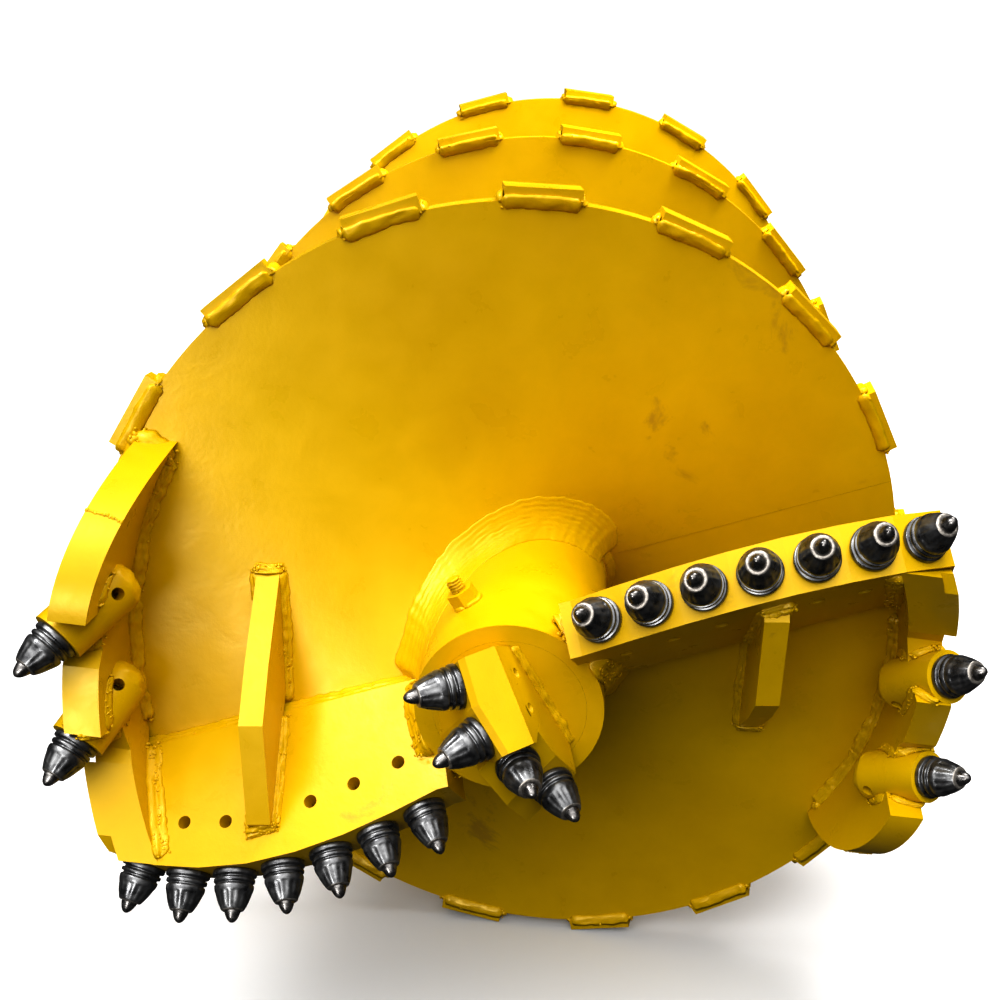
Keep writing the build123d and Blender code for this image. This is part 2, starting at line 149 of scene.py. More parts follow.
def toned(nodes, links, value, stops):
    """Colours that follow a value through a ramp."""
    r = ramp(nodes, stops)
    links.new(value, r.inputs[0])
    return r.outputs[0]


def grey(level):
    return (level, level, level)


def bump_node(nodes, links, height, strength, distance, under=None):
    """Bump from a height, on top of another bump where one is given."""
    b = nodes.new("ShaderNodeBump")
    b.inputs["Strength"].default_value = strength
    b.inputs["Distance"].default_value = distance
    links.new(height, b.inputs["Height"])
    if under:
        links.new(under, b.inputs["Normal"])
    return b.outputs[0]


MIX_SHARE, MIX_A, MIX_B, MIX_RESULT = 0, 6, 7, 2     # sockets of a colour mix


def mix(nodes, links, share, a, b, blend="MIX"):
    """Mix of two colours. Each input is a socket or a plain value."""
    m = nodes.new("ShaderNodeMix")
    m.data_type = "RGBA"
    m.blend_type = blend
    for sock, val in ((MIX_SHARE, share), (MIX_A, a), (MIX_B, b)):
        if hasattr(val, "is_linked"):
            links.new(val, m.inputs[sock])
        else:
            m.inputs[sock].default_value = val if sock == MIX_SHARE else (*val, 1)
    return m.outputs[MIX_RESULT]


YELLOWS = [(0.32, (0.60, 0.368, 0.0)), (0.52, (0.65, 0.410, 0.0)), (0.72, (0.69, 0.446, 0.0))]
STAIN = (0.30, 0.16, 0.02)


def stained(nodes, links, coord, colour, strength):
    """A few small stains, where two noises meet."""
    prod = nodes.new("ShaderNodeMath")
    prod.operation = "MULTIPLY"
    links.new(noise_node(nodes, links, coord, 9.0, 6, 0.7, 0.6), prod.inputs[0])
    links.new(noise_node(nodes, links, coord, 3.1, 2, 0.5), prod.inputs[1])
    mask = toned(nodes, links, prod.outputs[0], [(0.395, grey(0)), (0.46, grey(strength))])
    return mix(nodes, links, mask, colour, STAIN)


def dark_corners(nodes, links, colour):
    """Painted shade in holes and hollows, and grime along the seams: the paint is darkened where ambient
    occlusion finds close surfaces.
    """
    close = nodes.new("ShaderNodeAmbientOcclusion")
    close.samples = 6
    close.inputs["Distance"].default_value = 0.016
    shade = toned(nodes, links, close.outputs["AO"], [(0.10, (0.07, 0.05, 0.03)), (0.42, grey(1.0))])
    return mix(nodes, links, 1.0, colour, shade, "MULTIPLY")


def paint(name, bump=0.25, dirt=0.5, lumpy=0.0, corners=True):
    """Yellow paint on plate or on weld metal."""
    m, nodes, links, bsdf = new_material(name)
    co = nodes.new("ShaderNodeTexCoord").outputs["Object"]
    big = noise_node(nodes, links, co, 2.2, 3, 0.55)
    mid = noise_node(nodes, links, co, 14.0, 5, 0.6, 0.3)
    fine = noise_node(nodes, links, co, 160.0, 3, 0.6)
    streak = toned(nodes, links, mid, [(0.35, grey(0.90)), (0.65, grey(1.0))])
    col = mix(nodes, links, 0.6, toned(nodes, links, big, YELLOWS), streak, "MULTIPLY")
    col = stained(nodes, links, co, col, dirt)
    # Painted shade in hollows and grime in seams, from ambient occlusion.
    if corners:
        col = dark_corners(nodes, links, col)
    links.new(col, bsdf.inputs["Base Color"])
    links.new(toned(nodes, links, mid, [(0.3, grey(0.25)), (0.7, grey(0.40))]), bsdf.inputs["Roughness"])
    bsdf.inputs["Specular IOR Level"].default_value = 0.45
    bsdf.inputs["Specular Tint"].default_value = (1.0, 0.78, 0.30, 1)
    peel = bump_node(nodes, links, fine, bump, 0.0006)
    links.new(bump_node(nodes, links, mid, 0.18 + lumpy, 0.004, peel), bsdf.inputs["Normal"])
    return m


def steel(name, dark, bright, rough, metal=0.85, scale=60.0):
    """Bare metal between two greys."""
    m, nodes, links, bsdf = new_material(name)
    co = nodes.new("ShaderNodeTexCoord").outputs["Object"]
    patchy = noise_node(nodes, links, co, scale, 5, 0.6, 0.4)
    fine = noise_node(nodes, links, co, scale * 6, 3, 0.6)
    links.new(toned(nodes, links, patchy, [(0.35, dark), (0.68, bright)]), bsdf.inputs["Base Color"])
    bsdf.inputs["Metallic"].default_value = metal
    gloss = toned(nodes, links, patchy, [(0.3, grey(rough * 0.75)), (0.7, grey(rough * 1.35))])
    links.new(gloss, bsdf.inputs["Roughness"])
    links.new(bump_node(nodes, links, fine, 0.35, 0.0005), bsdf.inputs["Normal"])
    return m


PAINT = paint("yellow_paint")
WELD = paint("painted_weld", bump=0.6, dirt=0.3, lumpy=0.3, corners=False)
TOOL = steel("black_tool_steel", (0.055, 0.055, 0.057), (0.19, 0.19, 0.19), 0.30)
CARBIDE = steel("carbide_tip", (0.07, 0.066, 0.064), (0.22, 0.21, 0.20), 0.26, 0.9, 120)
BRAZE = steel("braze_ring", (0.16, 0.145, 0.13), (0.40, 0.37, 0.33), 0.38, 0.75, 200)

for name, obj in frame["nodes"].items():
    obj.data.materials.clear()
    obj.data.materials.append(TOOL if "tooth" in name else PAINT)

# ---------------------------------------------------------------- teeth


def seat_frames():
    """Name, origin and direction of each tooth, from the joints of the record."""
    out = {}
    for j in frame["record"]["behaviour"]["joints"]:
        node = j["name"][:-len("_turn")]
        out[node] = (Vector(j["pos_m"]), Vector(j["axis"]).normalized(), j["child"])
    return out


def lathe_mesh(name, rows, segments, flutes):
    """Mesh of revolution about +Z. rows: (radius, height, material, flute depth)."""
    bm = bmesh.new()
    rings = []
    for radius, height, _, depth in rows:
        ring = []
        for k in range(segments):
            a = 2 * math.pi * k / segments
            r = radius - depth * (0.5 + 0.5 * math.cos(a * flutes)) ** 1.5
            ring.append(bm.verts.new((r * math.cos(a), r * math.sin(a), height)))
        rings.append(ring)
    for i in range(len(rings) - 1):
        for k in range(segments):
            f = bm.faces.new((rings[i][k], rings[i][(k + 1) % segments],
                              rings[i + 1][(k + 1) % segments], rings[i + 1][k]))
            f.material_index = rows[i + 1][2]
            f.smooth = True
    bm.faces.new(list(reversed(rings[0])))
    bm.faces.new(rings[-1]).material_index = rows[-1][2]
    me = bpy.data.meshes.new(name)
    bm.to_mesh(me)
    bm.free()
    me.set_sharp_from_angle(angle=math.radians(SHARP_OVER))
    return me


BODY, TIP, RING = 0, 1, 2           # a tooth's materials: TOOL, CARBIDE and BRAZE
SHARP_OVER = 48
TOOTH_SEGMENTS, FLUTES = 70, 14
# Radius, height over the seat, material and flute depth, in millimetres.
TOOTH_ROWS = [
    (18.9, -10, BODY, 0), (18.9, 0.3, BODY, 0), (30.4, 0.3, BODY, 0), (31.7, 1.1, BODY, 0),
    (32.0, 2.4, BODY, 0), (32.0, 7.0, BODY, 0), (31.5, 8.3, BODY, 0), (30.3, 9.0, BODY, 0),
    (27.4, 9.3, BODY, 0), (26.5, 10.2, BODY, 0), (26.5, 11.6, BODY, 0), (27.2, 12.6, BODY, 0),
    (29.0, 12.9, BODY, 0), (29.7, 13.9, BODY, 0), (29.8, 17.0, BODY, 0), (29.1, 18.2, BODY, 0),
    (26.4, 18.7, BODY, 0), (25.6, 19.6, BODY, 0), (25.6, 20.8, BODY, 0), (26.4, 21.8, BODY, 0),
    (27.9, 22.4, BODY, 0), (28.5, 24.0, BODY, 0), (28.4, 27.0, BODY, 0), (27.8, 30.0, BODY, 0),
    (27.3, 31.6, BODY, 0.0), (26.9, 32.6, BODY, 0.7), (26.1, 35.0, BODY, 1.1), (24.8, 39.0, BODY, 1.2),
    (23.2, 44.0, BODY, 1.1), (21.3, 49.0, BODY, 0.9), (19.3, 53.5, BODY, 0.6), (17.5, 57.0, BODY, 0.3),
    (16.7, 58.6, BODY, 0), (16.0, 59.4, RING, 0), (14.6, 60.2, RING, 0), (12.6, 60.4, RING, 0),
    (11.6, 60.0, RING, 0), (11.4, 60.6, TIP, 0), (11.3, 62.4, TIP, 0), (10.5, 64.6, TIP, 0),
    (9.3, 68.0, TIP, 0), (7.8, 71.4, TIP, 0), (6.0, 74.2, TIP, 0), (3.9, 76.2, TIP, 0),
    (1.9, 77.3, TIP, 0), (0.2, 77.6, TIP, 0),
]
tooth_mesh = lathe_mesh("bullet_tooth", [(r * MM, h * MM, m, d * MM) for r, h, m, d in TOOTH_ROWS],
                        TOOTH_SEGMENTS, FLUTES)
for m in (TOOL, CARBIDE, BRAZE):
    tooth_mesh.materials.append(m)

SEATS = seat_frames()
for node, (origin, way, body) in SEATS.items():
    piece = bpy.data.objects.new(node + "_head", tooth_mesh.copy())
    bpy.context.collection.objects.link(piece)
    turn = way.to_track_quat("Z", "Y").to_matrix().to_4x4()
    spin = Matrix.Rotation(rng.uniform(0, 6.28), 4, "Z")
    piece.data.transform(Matrix.Translation(origin) @ turn @ spin)
    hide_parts(node)
    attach(piece, body)

# ---------------------------------------------------------------- welds

GAUGE_OUT, GAUGE_IN = 0.6308, 0.5808     # radii of the gauge rings
BED = 0.0010                             # how deep a bead's edges lie in the plates
RIPPLE_L = 0.0052                        # from one ripple of a bead to the next


def surface(node):
    """A CAD node's surface, for looking at it along a line."""
    return BVHTree.FromObject(frame["nodes"][node], bpy.context.evaluated_depsgraph_get())


def slab_axes(side):
    """Directions of a cutting plate: outward, towards its teeth, and out of its front face."""
    out = radial(BLADE[side])
    reach = FORWARD * LEAN_C + around(BLADE[side]) * LEAN_S
    return out, reach, out.cross(reach)


def slab(side, x, y, z):
    """Point in a cutting plate's own directions, from the middle of its root."""
    out, reach, face = slab_axes(side)
    return Vector((0, FRONT + BLADE_Y, 0)) + out * x + reach * y + face * z


def behind_of(side, p):
    """Angle of a point behind a cutting plate, from 0 to 360."""
    return (BLADE[side] - angle_of(p)) % 360


def flight_normal(side, p):
    """Direction out of the front face of a flight at a point."""
    return (FORWARD * math.hypot(p.x, p.z) - around(angle_of(p)) * HELIX_P).normalized()


def drop_on_flight(side, p, thick=LEAD_T, face=1):
    """Move a point along the auger's axis on to a flight's front face, or its back with face -1."""
    b = behind_of(side, p)
    if b > 350:
        b -= 360
    return Vector((p.x, FRONT + flight_y(b) - face * thick / 2, p.z))


def corner(p, na, nb):
    """Station from a corner point and the normals of the two faces that meet there."""
    u = (nb - na * nb.dot(na)).normalized()
    v = (na - nb * na.dot(nb)).normalized()
    return p, u, v


def finer(stations, step):
    """The same stations with more between them, about a step apart."""
    line = [stations[0]]
    for (p0, a0, b0), (p1, a1, b1) in zip(stations, stations[1:]):
        n = max(1, round((p1 - p0).length / step))
        for i in range(1, n + 1):
            t = i / n
            line.append((p0.lerp(p1, t), a0.lerp(a1, t).normalized(), b0.lerp(b1, t).normalized()))
    return line


def wave(run, across, seed):
    return noise.noise(Vector((run, across, seed)))


def leg(size, share):
    """A leg given as a number or as a function of the share run."""
    return size(share) if callable(size) else size


def strip(bm, stations, leg_a, leg_b, passes=1, ripple=0.0005, seed=0.0, crown=0.10, step=0.004, rough=1.0,
          lane_dip=0.16, blunt=0.6, fade=0.0):
    """One weld bead. A station is its corner point and the ways from the corner along both faces,
    and the legs run those ways. crown is the bead's rise as a share of its legs, hollow below zero,
    lane_dip the depth between its passes, fade how far they fade out towards the second leg, and
    blunt how long its ends are."""
    line = finer(stations, step)
    total = sum((q[0] - p[0]).length for p, q in zip(line, line[1:]))
    count = 4 * passes + 3
    rows = []
    run = 0.0
    for k, (p, u, v) in enumerate(line):
        if k:
            run += (p - line[k - 1][0]).length
        share = run / total if total else 0
        la, lb = leg(leg_a, share), leg(leg_b, share)
        wander = wave(run * 22, seed, 1.7)
        la *= 1 + 0.13 * rough * wander + 0.09 * rough * wave(run * 95, seed, 4.3)
        lb *= 1 + 0.13 * rough * wave(run * 22, seed, 7.1)
        lb *= 1 + 0.09 * rough * wave(run * 95, seed, 9.9)
        ends = min(1.0, 0.35 + min(run, total - run) / (blunt * max(la, lb)))
        la, lb = la * ends, lb * ends
        normal = (u * lb + v * la).normalized()
        ring = []
        for j in range(count):
            t = j / (count - 1)
            arch = math.sin(math.pi * t) ** (1.5 if crown > 0 else 1.0)
            scallop = abs(math.sin(math.pi * passes * t))
            lane = t * passes
            mid = lane - math.floor(lane) - 0.5
            dime = (run / RIPPLE_L + 1.6 * mid * mid + 0.37 * math.floor(lane)) % 1.0
            grit = wave(run * 130, t * 7 * passes, seed + 3)
            lump = wave(run * 48, t * 2.2 * passes, seed + 8)
            q = p + u * (la * (1 - t)) + v * (lb * t)
            q += normal * (min(la, lb) * crown * arch)
            q += normal * (min(la, lb) * lane_dip / passes * scallop * (1 - fade * t))
            q += normal * (ripple * (1 - dime) * arch ** 0.3)
            q += normal * (0.0007 * rough * grit + (0.0012 * wander + 0.0016 * lump) * rough * arch)
            ring.append(q)
        ring[0] -= v * BED
        ring[-1] -= u * BED
        ring.append(p - (u + v) * BED)
        rows.append([bm.verts.new(q) for q in ring])
    for low, high in zip(rows, rows[1:]):
        for j in range(len(low)):
            after = (j + 1) % len(low)
            bm.faces.new((low[j], low[after], high[after], high[j]))
    bm.faces.new(list(reversed(rows[0])))
    bm.faces.new(rows[-1])


def drop_form():
    """Points and faces of a round drop of radius 1."""
    bm = bmesh.new()
    bmesh.ops.create_icosphere(bm, subdivisions=2, radius=1)
    bm.verts.index_update()
    points = [v.co.copy() for v in bm.verts]
    faces = [[v.index for v in f.verts] for f in bm.faces]
    bm.free()
    return points, faces


DROP_POINTS, DROP_FACES = drop_form()


def grains(bm, spots, low, high):
    """Small drops of weld metal. A spot is a place and a way out."""
    for p, way in spots:
        size = rng.uniform(low, high)
        turn = way.to_track_quat("Z", "Y").to_matrix().to_4x4()
        flat = Matrix.Diagonal((size * rng.uniform(0.9, 1.5), size * rng.uniform(0.8, 1.2),
                                size * rng.uniform(0.5, 0.8), 1))
        spin = Matrix.Rotation(rng.uniform(0, 6.28), 4, "Z")
        place = Matrix.Translation(p) @ turn @ spin @ flat
        made = [bm.verts.new(place @ q) for q in DROP_POINTS]
        for corners in DROP_FACES:
            bm.faces.new([made[k] for k in corners])


def bead_spots(strips, count):
    """Places for small drops all over a list of beads."""
    spots = []
    for _ in range(count):
        stations, leg_a, leg_b, _ = rng.choices(strips, [len(bead[0]) for bead in strips])[0]
        share = rng.random()
        p, u, v = stations[min(len(stations) - 1, int(share * len(stations)))]
        la, lb = leg(leg_a, share), leg(leg_b, share)
        t = rng.uniform(0.05, 0.95)
        spots.append((p + u * (la * (1 - t)) + v * (lb * t), (u * lb + v * la).normalized()))
    return spots


SPATTER_LOW, SPATTER_HIGH = 0.0012, 0.0026


def weld(name, strips, spots=(), low=0.002, high=0.004, forms=(), grainy=0):
    """One piece of weld metal from beads as (stations, leg, leg, options), from drops at spots
    between two sizes, from other forms, and with a number of small drops over the beads."""
    bm = bmesh.new()
    strips = [bead for bead in strips if len(bead[0]) > 1]
    for number, (stations, leg_a, leg_b, options) in enumerate(strips):
        strip(bm, stations, leg_a, leg_b, seed=number * 5.3 + len(name), **options)
    bmesh.ops.recalc_face_normals(bm, faces=bm.faces)
    grains(bm, spots, low, high)
    grains(bm, bead_spots(strips, grainy), SPATTER_LOW, SPATTER_HIGH)
    for form in forms:
        form(bm)
    for f in bm.faces:
        f.smooth = True
    me = bpy.data.meshes.new(name)
    bm.to_mesh(me)
    bm.free()
    me.materials.append(WELD)
    piece = bpy.data.objects.new(name, me)
    bpy.context.collection.objects.link(piece)
    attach(piece, "auger")


def helix(side, radius, first, last, thick, face, other):
    """Stations along a flight's root or a ring, between two angles behind the cutting plate.
    face is +1 on the flight's front, and other is +1 where the bead runs outward."""
    out = []
    for b in along(first, last, 2.5):
        ang = BLADE[side] - b
        p = at(radius, ang, flight_y(b) - face * thick / 2)
        out.append((p, radial(ang) * other, FORWARD * face))
    return out


def table(places, values, unit=MM):
    """Function of the share run, from places on 0 to 1 and values in millimetres."""
    def value(share):
        for k in range(1, len(places)):
            if share <= places[k]:
                t = (share - places[k - 1]) / (places[k] - places[k - 1])
                return unit * lerp(values[k - 1], values[k], t)
        return unit * values[-1]
    return value


# The first turn of flight A has a wide collar of many passes on its front. It runs out along the
# flight and up along the tube.
COLLAR_SHARES = (0, 0.14, 0.29, 0.45, 0.58, 0.69, 0.79, 0.9, 1)
COLLAR_OUT = (54, 42, 42, 50, 59, 65, 64, 52, 22)
COLLAR_UP = (96, 90, 72, 46, 34, 36, 46, 56, 46)
COLLAR = {"passes": 9, "crown": -0.24, "step": 0.004, "ripple": 0.00022, "rough": 0.55,
          "lane_dip": 0.22, "fade": 0.9}
weld("weld_root_collar_a", [(helix("a", CORE_R, 4, 179, LEAD_T, 1, 1), table(COLLAR_SHARES, COLLAR_OUT),
                             table(COLLAR_SHARES, COLLAR_UP), COLLAR)])
ROOT = {"passes": 2, "crown": 0.05}
weld("weld_roots", [
    (helix("a", CORE_R, 170, 359, LEAD_T, 1, 1), 0.016, 0.018, ROOT),
    (helix("a", CORE_R, 361, 899, TAIL_T, 1, 1), 0.012, 0.013, ROOT),
    (helix("a", CORE_R, 8, 359, LEAD_T, -1, 1), 0.014, 0.016, ROOT),
    (helix("a", CORE_R, 361, 899, TAIL_T, -1, 1), 0.012, 0.013, ROOT),
    (helix("b", CORE_R, 7, 179, LEAD_T, 1, 1), table((0, 1), (40, 18)), table((0, 1), (46, 20)),
     {"passes": 3, "crown": 0.03}),
    (helix("b", CORE_R, 7, 179, LEAD_T, -1, 1), 0.014, 0.016, ROOT)])


HALVINGS = 40
END_TURN = 31.8                     # a cutting plate's inner end on the tube, ahead of its angle


def slab_on_tube(side, z, y0, y1):
    """Stations where a face of a cutting plate meets the tube."""
    out, reach, face = slab_axes(side)
    stations = []
    for y in along(y0, y1, 0.005):
        q = LEAN_S * y - LEAN_C * z
        p = slab(side, math.sqrt(CORE_R ** 2 - q * q), y, z)
        stations.append(corner(p, face * (1 if z > 0 else -1), radial(angle_of(p))))
    return stations


def slab_on_flight(side, face):
    """Stations where the back of a cutting plate meets its flight, found by halving."""
    out, reach, normal = slab_axes(side)
    stations = []
    for x in along(0.142, 0.636, 0.008):
        lo, hi = -0.06, 0.06
        for _ in range(HALVINGS):
            z = (lo + hi) / 2
            p = slab(side, x, -BLADE_BACK, z)
            if (p - drop_on_flight(side, p, LEAD_T, face)).dot(FORWARD) > 0:
                hi = z
            else:
                lo = z
        stations.append(corner(p, -reach, flight_normal(side, p) * face))
    return stations


def slab_end(side):
    """Stations in the wedge between a cutting plate's inner end and the tube."""
    ang = BLADE[side] + END_TURN
    out = slab_axes(side)[0]
    return [corner(at(CORE_R, ang, y), -out, radial(ang)) for y in along(0.004, 0.088, 0.01)]


def slab_end_spots(side):
    """Places for drops of weld metal round a cutting plate's inner end."""
    spots = []
    for _ in range(110):
        ang = BLADE[side] + rng.gauss(33.0, 4.0)
        spots.append((at(CORE_R + 0.001, ang, rng.uniform(0.002, 0.075)), radial(ang)))
    return spots


def weld_plate(side):
    """Welds of a cutting plate: on the tube in front and behind, at its inner end, on the flight."""
    weld("weld_plate_" + side, [
        (slab_on_tube(side, BLADE_T / 2, -0.008, 0.116), 0.030, 0.026,
         {"passes": 4, "rough": 2.0, "ripple": 0.0006, "crown": -0.05}),
        (slab_on_tube(side, -BLADE_T / 2, -0.008, 0.064), 0.026, 0.024, {"passes": 3, "rough": 1.4}),
        (slab_end(side), table((0, 0.5, 1), (16, 26, 14)), table((0, 0.5, 1), (24, 34, 16)),
         {"passes": 3, "rough": 2.6, "ripple": 0.0012, "blunt": 1.6}),
        (slab_on_flight(side, 1), 0.022, 0.026, {"passes": 3, "crown": 0.04}),
        (slab_on_flight(side, -1), 0.014, 0.016, {"passes": 2})], slab_end_spots(side), grainy=260)


for side in BLADE:
    weld_plate(side)

# Gauge rings: where they start and end, and where a seam crosses them, behind the cutting plate.
RING_FIRST, RING_LAST, RING_SEAM = 7.0, 48.0, 43.2


def ring_on_slab(side):
    """Stations where the ring's inner wall meets the front face of its cutting plate."""
    out, reach, face = slab_axes(side)
    stations = []
    for y in along(-0.012, 0.172, 0.006):
        q = LEAN_S * y - LEAN_C * BLADE_T / 2
        p = slab(side, math.sqrt(GAUGE_IN ** 2 - q * q), y, BLADE_T / 2)
        stations.append((p, -out, face))
    return stations


def ring_end(side):
    """Stations at the ring's thin end."""
    ang = BLADE[side] - RING_LAST
    y = flight_y(RING_LAST) - LEAD_T / 2
    radii = along(GAUGE_IN - 0.006, FLIGHT_R - 0.004, 0.006)
    return [(at(r, ang, y), -around(ang), FORWARD) for r in radii]


def ring_tip_spots(side):
    """Places for drops of weld metal on the thin end of a gauge ring."""
    spots = []
    for _ in range(70):
        b = RING_LAST - 0.2 + rng.gauss(0.0, 0.35)
        spots.append((at(rng.uniform(GAUGE_IN - 0.004, GAUGE_OUT + 0.004), BLADE[side] - b,
                         flight_y(b) - LEAD_T / 2 - rng.uniform(0.0, 0.012)), FORWARD))
    return spots


def ring_seam(side, behind):
    """Stations of a thin seam across the front edge of a gauge ring."""
    tree = surface("gauge_segment_" + side)
    stations = []
    for r in along(GAUGE_IN + 0.001, GAUGE_OUT - 0.001, 0.004):
        b = behind + 22 * (GAUGE_OUT - r) + 0.25 * wave(r * 60, 0.3, behind)
        ang = BLADE[side] - b
        hit, normal, _, _ = tree.ray_cast(at(r, ang, -0.3), -FORWARD, 0.6)
        if hit is not None:
            lie = (around(ang) - normal * around(ang).dot(normal)).normalized()
            stations.append((hit - lie * BED, lie, normal))
    return stations


# Sleeves of the two gauge teeth, and their angles behind the cutting plate.
SLEEVE_R, SLEEVE_L, MOUND_RISE = 0.039, 0.108, 0.030
SLEEVE_BEHIND = (11.15, 26.67)
SLEEVE_LOOKS = 48


def wall_hit(trees, start, way, entering):
    """The nearest place back along a sleeve's wall where it enters a plate or leaves one."""
    best = None
    for tree in trees:
        p, n, _, d = tree.ray_cast(start, -way, SLEEVE_L + 0.020)
        while p is not None and (n.dot(way) > 0) != entering:
            p, n, _, more = tree.ray_cast(p - way * 0.0005, -way, SLEEVE_L + 0.020 - d)
            d += (more or 0) + 0.0005
        if p is not None and 0.022 < d < SLEEVE_L + 0.016 and (best is None or d < best[2]):
            best = (p, n, d)
    return best


def sleeve_runs(trees, origin, way, flank, entering):
    """Runs of stations round one sleeve. A run ends where the plates do."""
    third = way.cross(flank)
    runs, run = [], []
    for k in range(SLEEVE_LOOKS + 1):
        a = 2 * math.pi * k / SLEEVE_LOOKS
        off = flank * math.cos(a) + third * math.sin(a)
        start = origin + off * (SLEEVE_R + 0.0012) + way * 0.020
        hit = wall_hit(trees, start, way, entering)
        if hit is None or (run and (hit[0] - run[-1][0]).length > 0.025):
            runs.append(run)
            run = []
        if hit is not None:
            p, n, _ = hit
            run.append((p, (off - n * off.dot(n)).normalized(), way if entering else -way))
    return [r for r in runs + [run] if len(r) > 3]


def sleeve_beads(side):
    """The weld round each sleeve, where it enters the plates and where it leaves them."""
    trees = [surface(node + side + end) for node, end in
             (("gauge_segment_", ""), ("flight_", "1"), ("cutting_plate_", ""))]
    beads = []
    for number, behind in enumerate(SLEEVE_BEHIND, 1):
        origin, way, _ = SEATS["gauge_tooth_" + side + str(number)]
        flank = way.cross(radial(BLADE[side] - behind)).normalized()
        for entering in (True, False):
            for run in sleeve_runs(trees, origin, way, flank, entering):
                beads.append((run, 0.010, 0.011, {"passes": 2, "rough": 1.8, "crown": 0.14}))
    return beads


def sleeve_mound(bm, side, number):
    """The weld metal heaped on the rear end of a sleeve, down to the flight. It is flat inside the
    sleeve, so that the knock-out hole stays open."""
    origin, way, _ = SEATS["gauge_tooth_" + side + str(number)]
    centre = origin - way * (SLEEVE_L - 0.003)
    made = bmesh.ops.create_uvsphere(bm, u_segments=48, v_segments=24, radius=1)["verts"]
    turn = way.to_track_quat("Z", "Y").to_matrix().to_4x4()
    size = Matrix.Diagonal((SLEEVE_R - 0.0008, SLEEVE_R - 0.0008, MOUND_RISE, 1))
    bmesh.ops.transform(bm, matrix=Matrix.Translation(centre) @ turn @ size, verts=made)
    for v in made:
        off = v.co - centre
        if off.dot(way) > 0:
            v.co -= way * off.dot(way) * 0.96
        elif off.dot(way) < -0.002:
            out = off.normalized()
            v.co += out * 0.0035 * noise.noise(v.co * 60) + out * 0.0015 * noise.noise(v.co * 160)


def weld_ring(side):
    """Welds of a gauge ring and its sleeves."""
    weld("weld_ring_" + side, [
        (helix(side, GAUGE_IN, RING_FIRST, RING_LAST - 0.5, LEAD_T, 1, -1), 0.015, 0.014,
         {"passes": 2, "rough": 2.4, "crown": 0.0}),
        (helix(side, GAUGE_OUT, RING_FIRST, RING_LAST, LEAD_T, 1, 1), 0.009, 0.011, {"rough": 1.3}),
        (ring_on_slab(side), 0.024, 0.010, {"passes": 2, "rough": 1.8, "crown": -0.04, "lane_dip": 0.3}),
        (ring_seam(side, RING_SEAM), 0.0022, 0.0009, {"rough": 1.5, "step": 0.002}),
        (ring_end(side), 0.018, 0.015, {"rough": 3.0, "crown": 0.10, "blunt": 1.2})] + sleeve_beads(side),
        ring_tip_spots(side), 0.003, 0.0065, grainy=420,
        forms=[lambda bm: sleeve_mound(bm, side, 1), lambda bm: sleeve_mound(bm, side, 2)])


for side in BLADE:
    weld_ring(side)

# Ribs: their frame and beads, as in the part's source.
RIB_R, RIB_TURN, RIB_T = 0.385, math.radians(16.5), 0.0345
RIB_TOP, RIB_RUN, RIB_ROOT_RUN = 0.165, 0.242, 0.050
RIB_BEAD = {"rough": 2.2, "crown": 0.02, "passes": 2}
RIB_TIP_BEAD = {"rough": 3.2, "crown": 0.02, "passes": 2, "step": 0.002}


def rib_axes(side):
    """A rib's middle, its way towards the teeth and its way across."""
    ahead = around(BLADE[side]) * math.cos(RIB_TURN) + radial(BLADE[side]) * math.sin(RIB_TURN)
    across = radial(BLADE[side]) * math.cos(RIB_TURN) - around(BLADE[side]) * math.sin(RIB_TURN)
    return radial(BLADE[side]) * RIB_R, ahead, across


def rib_on_slab(side, flank, y):
    """Point of a rib's flank on the front face of its cutting plate."""
    origin, ahead, across = rib_axes(side)
    out = slab_axes(side)[0]
    base = slab(side, 0, y, BLADE_T / 2)
    return base + out * ((flank - across.dot(base - origin)) / across.dot(out))


def rib_beads(side):
    """Beads up both flanks of a rib, on the plate and on the flight, and over both its ends."""
    origin, ahead, across = rib_axes(side)
    out, reach, face = slab_axes(side)
    beads = []
    for way in (-1, 1):
        flank = way * RIB_T / 2
        lie = (across * way - face * across.dot(face) * way).normalized()
        up = [(rib_on_slab(side, flank, y), lie, face) for y in along(RIB_TOP, -0.004, 0.006)]
        low = []
        for run in along(RIB_ROOT_RUN, RIB_RUN, 0.006):
            p = drop_on_flight(side, origin - ahead * run + across * flank)
            n = flight_normal(side, p)
            low.append((p, (across - n * across.dot(n)).normalized() * way, FORWARD))
        beads += [(up, 0.011, 0.010, RIB_BEAD), (low, 0.011, 0.010, RIB_BEAD)]
    width = along(-RIB_T / 2 - 0.006, RIB_T / 2 + 0.006, 0.004)
    top = [(rib_on_slab(side, w, RIB_TOP), reach, face) for w in width]
    foot = [(drop_on_flight(side, origin - ahead * RIB_RUN + across * w), -ahead, FORWARD) for w in width]
    return beads + [(top, 0.011, 0.013, RIB_TIP_BEAD), (foot, 0.012, 0.011, RIB_TIP_BEAD)]


for side in BLADE:
    weld("weld_rib_" + side, rib_beads(side), grainy=260)

# Wear blocks: their angles behind the cutting plates, as in the part's source.
BLOCK_L, BLOCK_W = 0.112, 0.038
BLOCK_HEM = 0.0035                  # how far a bead covers a block's side
BLOCK_SIDE_BEAD = {"rough": 1.5, "crown": 0.06, "ripple": 0.0007, "step": 0.005, "blunt": 0.25}
BLOCK_END_BEAD = {"rough": 2.0, "crown": 0.15, "step": 0.005}
BLOCKS_AT = {
    "a": (30.4, 50.4, 70.4, 90.4, 110.4, 130.4, 150.4, 169.6, 191.6, 212.8, 234.0, 255.2, 276.4, 297.6, 317.3,
          337.0, 354.0, 376.4, 396.1, 415.8, 435.5, 455.4, 475.4, 495.4, 515.4, 532.0, 552.0, 574.0, 595.7,
          616.4, 636.4, 657.9, 679.3, 700.6, 714.0, 732.5, 750.0, 771.0, 792.0, 812.6, 834.0, 855.0, 876.0),
    "b": (32.0, 54.0, 74.0, 95.0, 116.6, 137.0, 157.0),
}


